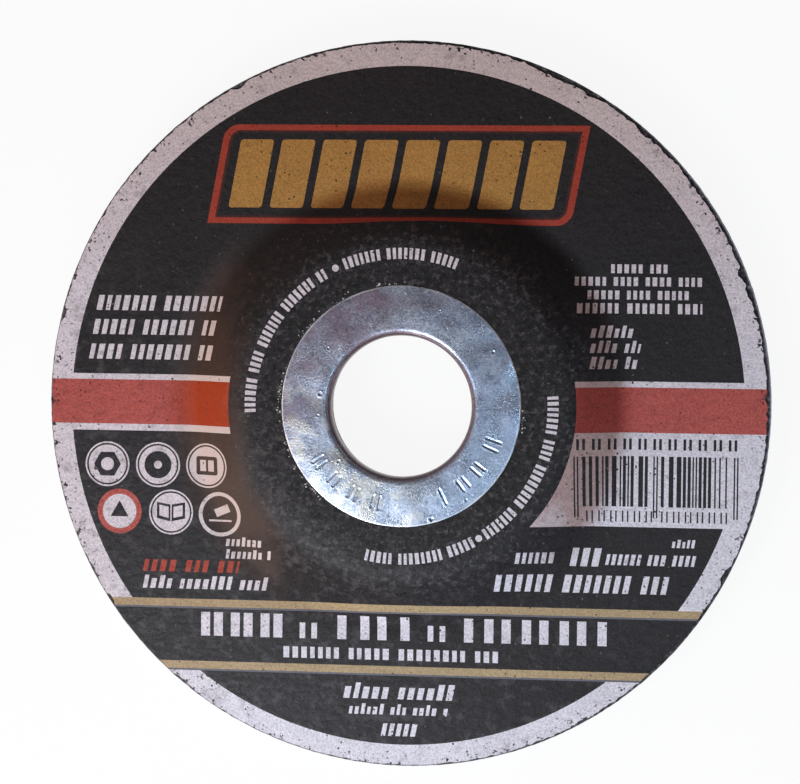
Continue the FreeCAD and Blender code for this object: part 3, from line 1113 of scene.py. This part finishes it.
def zinc_material():
    """Zinc plate on pressed sheet, with a painted highlight on its worn outer edge, and rust in the bore
    whose dark brown also paints the dark reflection on the lip.
    """
    nodes = Nodes("zinc_plate")
    spangle = nodes.cell_values(0.9)
    tone = zinc_tone(nodes, spangle["Red"])
    # Painted highlight along the outer edge, where the bevel catches the light; the edge is also made less
    # metallic.
    wear_and_highlight = nodes.ramp(nodes.reach(), RING_RADIUS - 0.32, RING_RADIUS - 0.2)
    wear_and_highlight = nodes.times(wear_and_highlight, nodes.ramp(nodes.noise(2.0), 0.35, 0.6, 0.35, 0.9))
    tone = nodes.mix(wear_and_highlight, tone, linear(236, 240, 246))
    # Rust on the lip and in the bore; its dark brown also paints the dark reflection on the steep part of
    # the lip.
    rust = nodes.ramp(nodes.reach(), BORE_RADIUS + 0.95, BORE_RADIUS + 0.6)
    tone = nodes.mix(nodes.times(rust, 0.8), tone, linear(96, 62, 56))
    dulled = nodes.larger(rust, nodes.times(wear_and_highlight, 0.8))
    nodes.link(nodes.ramp(dulled, 0.0, 1.0, 1.0, 0.55), nodes.shader.inputs["Metallic"])
    rough = nodes.ramp(nodes.noise(2.4, 3.0), 0.3, 0.7, 0.22, 0.36)
    waves = nodes.bump(nodes.noise(6.0, 1.0), 0.26)
    facets = nodes.bump(spangle["Green"], 0.02, below=waves)
    scratches = nodes.noise(0.25, place=nodes.stretched(1.0, 0.08, 1.0))
    lines = nodes.bump(scratches, 0.008, below=facets)
    return nodes.finish(tone, rough, nodes.bump(nodes.noise(0.3), 0.03, below=lines))


# Floor, light and air

FLOOR_REACH = 4000.0
FLOOR_DROP = 0.2
FLOOR_GLOW = 0.91
BRIGHT_SIDE = Vector((-0.9, -0.25, 0.2))
DIM_AIR = (0.075, 0.072, 0.078, 1.0)
BRIGHT_AIR = (0.62, 0.56, 0.56, 1.0)


def floor_material():
    """Near white to the camera and in reflections, and a plain pale floor to all other light."""
    nodes = Nodes("floor_white")
    nodes.shader.inputs["Base Color"].default_value = (0.98, 0.98, 0.98, 1.0)
    nodes.shader.inputs["Roughness"].default_value = 0.9
    rays = nodes.add("LightPath").outputs
    seen = nodes.larger(rays["Is Camera Ray"], rays["Is Glossy Ray"])
    blend = nodes.add("MixShader")
    shaders = (nodes.shader.outputs[0], nodes.add("Emission").outputs[0])
    nodes.fill(blend.inputs, (nodes.times(seen, FLOOR_GLOW), *shaders))
    nodes.link(blend.outputs[0], nodes.tree.nodes["Material Output"].inputs["Surface"])
    return nodes.material


def make_floor():
    mesh = bpy.data.meshes.new("floor")
    corners = box(-FLOOR_REACH, -FLOOR_REACH, FLOOR_REACH, FLOOR_REACH)
    mesh.from_pydata([Vector((x, y, 0)) * MM for x, y in corners], [], [(0, 1, 2, 3)])
    mesh.materials.append(floor_material())
    floor = add_object("floor", mesh)
    floor.location.z = -FLOOR_DROP * MM


def make_lamp(name, place, size, power, colour):
    """A square soft light that faces the disc. place and size are in millimetres."""
    data = bpy.data.lights.new(name, "AREA")
    data.shape = "SQUARE"
    data.size = size * MM
    data.energy = power
    data.color = colour
    lamp = add_object(name, data)
    lamp.location = Vector(place) * MM
    lamp.rotation_euler = Vector(place).to_track_quat("Z", "Y").to_euler()


def make_air():
    """A soft room that is brightest low on the left, and dim overhead and on the right."""
    world = bpy.data.worlds.new("studio")
    bpy.context.scene.world = world
    world.use_nodes = True
    tree = world.node_tree
    background = tree.nodes["Background"]
    place = tree.nodes.new("ShaderNodeTexCoord")
    side = tree.nodes.new("ShaderNodeVectorMath")
    side.operation = "DOT_PRODUCT"
    side.inputs[1].default_value = BRIGHT_SIDE.normalized()
    tree.links.new(place.outputs["Generated"], side.inputs[0])
    ramp = tree.nodes.new("ShaderNodeValToRGB")
    low, high = ramp.color_ramp.elements
    low.position, low.color = 0.0, DIM_AIR
    high.position, high.color = 0.95, BRIGHT_AIR
    tree.links.new(side.outputs["Value"], ramp.inputs["Fac"])
    tree.links.new(ramp.outputs["Color"], background.inputs["Color"])


make_camera()
make_floor()
make_lamp("near_panel", (-95, -130, 185), 100, 0.28, (0.86, 0.92, 1.0))
make_lamp("warm_side", (-420, -90, 130), 160, 0.48, (1.0, 0.62, 0.38))
make_lamp("cool_side", (340, -190, 45), 150, 0.3, (0.76, 0.86, 1.0))
make_lamp("small_window", (-80, -75, 300), 50, 0.022, (0.84, 0.94, 1.0))
make_lamp("right_window", (75, -55, 300), 60, 0.05, (0.62, 0.86, 1.0))
make_lamp("front_fill", (70, -210, 190), 140, 0.14, (0.72, 0.88, 1.0))
make_air()
bpy.context.scene.view_settings.view_transform = "Standard"

pieces = (
    (make_grit(), "abrasive_body", "grit"),
    (make_label(), "paper_label", "label_paper"),
    (make_ring(), "centre_ring", "zinc_steel"),
)
for piece, node, slot in pieces:
    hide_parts(node)
    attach(piece, "root")
